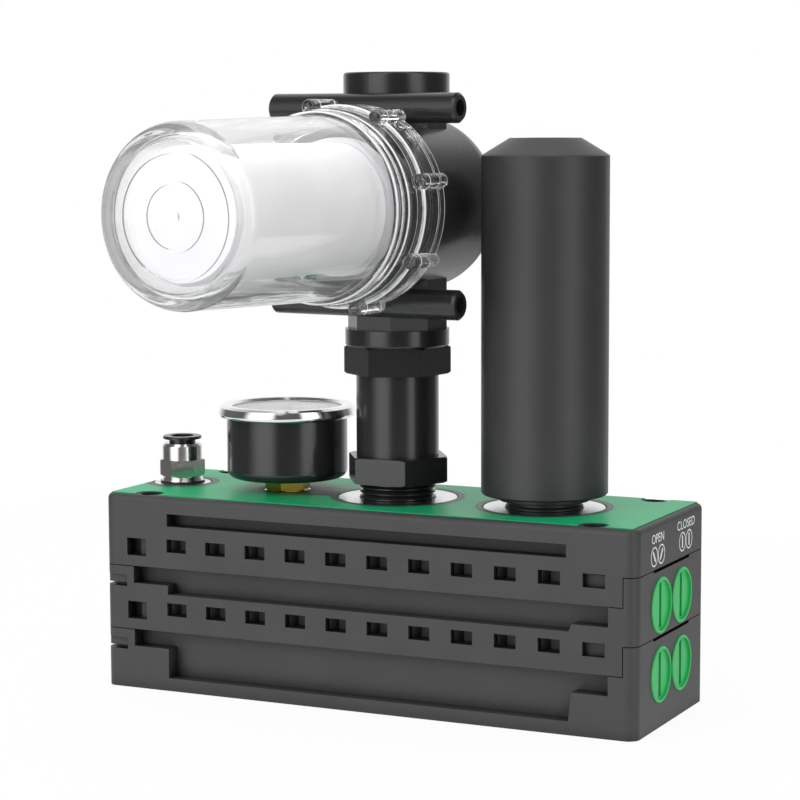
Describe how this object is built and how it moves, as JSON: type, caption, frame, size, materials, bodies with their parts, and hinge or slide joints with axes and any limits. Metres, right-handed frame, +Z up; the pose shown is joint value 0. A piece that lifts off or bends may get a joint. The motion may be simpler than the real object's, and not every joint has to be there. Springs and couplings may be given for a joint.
{
  "type": "vacuum ejector",
  "caption": "Compact multi-stage vacuum ejector with stacked black housings, feed fitting, gauge, check valve, inline filter with clear bowl, and exhaust silencer.",
  "frame": {"origin": "centre of the underside of the housing stack", "axes": "+X along the housings towards the lock end, +Z up through the ports"},
  "size_m": [0.2005, 0.1662, 0.2157],
  "materials": {
    "housing": "matte",
    "rubber": "matte",
    "label": "satin",
    "screw_steel": "satin",
    "seat_metal": "satin",
    "cartridge": "satin",
    "brass": "satin",
    "green_plastic": "satin",
    "nickel": "polished",
    "collet_black": "satin",
    "spring_steel": "satin",
    "gauge_black": "satin",
    "chrome": "polished",
    "clear_glass": "polished",
    "dial_white": "matte",
    "pointer_black": "matte",
    "valve_black": "satin",
    "poppet_white": "satin",
    "silencer_black": "satin",
    "felt": "matte",
    "clear_bowl": "polished",
    "element_white": "matte",
    "element_cap_white": "satin"
  },
  "bodies": {
    "housing": {"top_cap": "housing", "middle_housing": "housing", "bottom_housing": "housing", "upper_gasket": "rubber", "lower_gasket": "rubber", "label_plate": "label", "cap_screws": "screw_steel", "base_screws": "screw_steel", "feed_insert": "seat_metal", "gauge_insert": "seat_metal", "vacuum_insert": "seat_metal", "exhaust_insert": "seat_metal", "ejector_cartridge_1": "cartridge", "ejector_cartridge_2": "cartridge", "ejector_cartridge_3": "cartridge", "ejector_cartridge_4": "cartridge", "feed_nozzles": "brass", "flap_bands": "rubber", "cartridge_seals": "rubber", "lock_seals": "rubber", "fitting_seat_seal": "rubber", "fitting_body": "nickel", "fitting_grip_ring": "spring_steel", "fitting_tube_seal": "rubber", "gauge_stem": "brass", "gauge_case": "gauge_black", "gauge_bezel": "chrome", "gauge_window": "clear_glass", "gauge_dial": "dial_white", "gauge_movement": "brass", "gauge_tube": "brass", "valve_body": "valve_black", "valve_nut": "valve_black", "valve_guide": "cartridge", "valve_seat_seal": "rubber", "valve_spring": "spring_steel", "silencer_shell": "silencer_black", "silencer_base": "silencer_black", "silencer_liner": "felt", "silencer_seat_seal": "rubber", "filter_head": "valve_black", "filter_bowl": "clear_bowl", "filter_socket": "element_cap_white", "filter_element": "element_white", "element_cap": "element_cap_white", "bowl_seal": "rubber"},
    "lock_1": {"lock_1": "green_plastic"},
    "lock_2": {"lock_2": "green_plastic"},
    "lock_3": {"lock_3": "green_plastic"},
    "lock_4": {"lock_4": "green_plastic"},
    "collet": {"fitting_collet": "collet_black"},
    "pointer": {"gauge_pointer": "pointer_black"},
    "poppet": {"valve_poppet": "poppet_white", "valve_poppet_seal": "rubber"}
  },
  "joints": [
    {"name": "lock_1_turn", "type": "hinge", "parent": "housing", "child": "lock_1", "pos_m": [0.0965, -0.0101, 0.0177], "axis": [1, 0, 0], "range_deg": [0, 45]},
    {"name": "lock_2_turn", "type": "hinge", "parent": "housing", "child": "lock_2", "pos_m": [0.0965, 0.0101, 0.0177], "axis": [1, 0, 0], "range_deg": [-45, 0]},
    {"name": "lock_3_turn", "type": "hinge", "parent": "housing", "child": "lock_3", "pos_m": [0.0965, -0.0101, 0.0409], "axis": [1, 0, 0], "range_deg": [0, 45]},
    {"name": "lock_4_turn", "type": "hinge", "parent": "housing", "child": "lock_4", "pos_m": [0.0965, 0.0101, 0.0409], "axis": [1, 0, 0], "range_deg": [-45, 0]},
    {"name": "collet_press", "type": "slide", "parent": "housing", "child": "collet", "axis": [0, 0, 1], "range_m": [-0.001, 0], "stiffness_N_per_m": 300, "springref_m": 0.0003},
    {"name": "pointer_turn", "type": "hinge", "parent": "housing", "child": "pointer", "pos_m": [-0.0443, 0, 0.093], "axis": [0, 0, 1], "range_deg": [0, 265], "stiffness_Nm_per_rad": 0.00002, "springref_deg": -5.73},
    {"name": "poppet_lift", "type": "slide", "parent": "housing", "child": "poppet", "axis": [0, 0, -1], "range_m": [0, 0.005], "stiffness_N_per_m": 100, "springref_m": -0.003, "deforming": ["valve_spring"]}
  ]
}
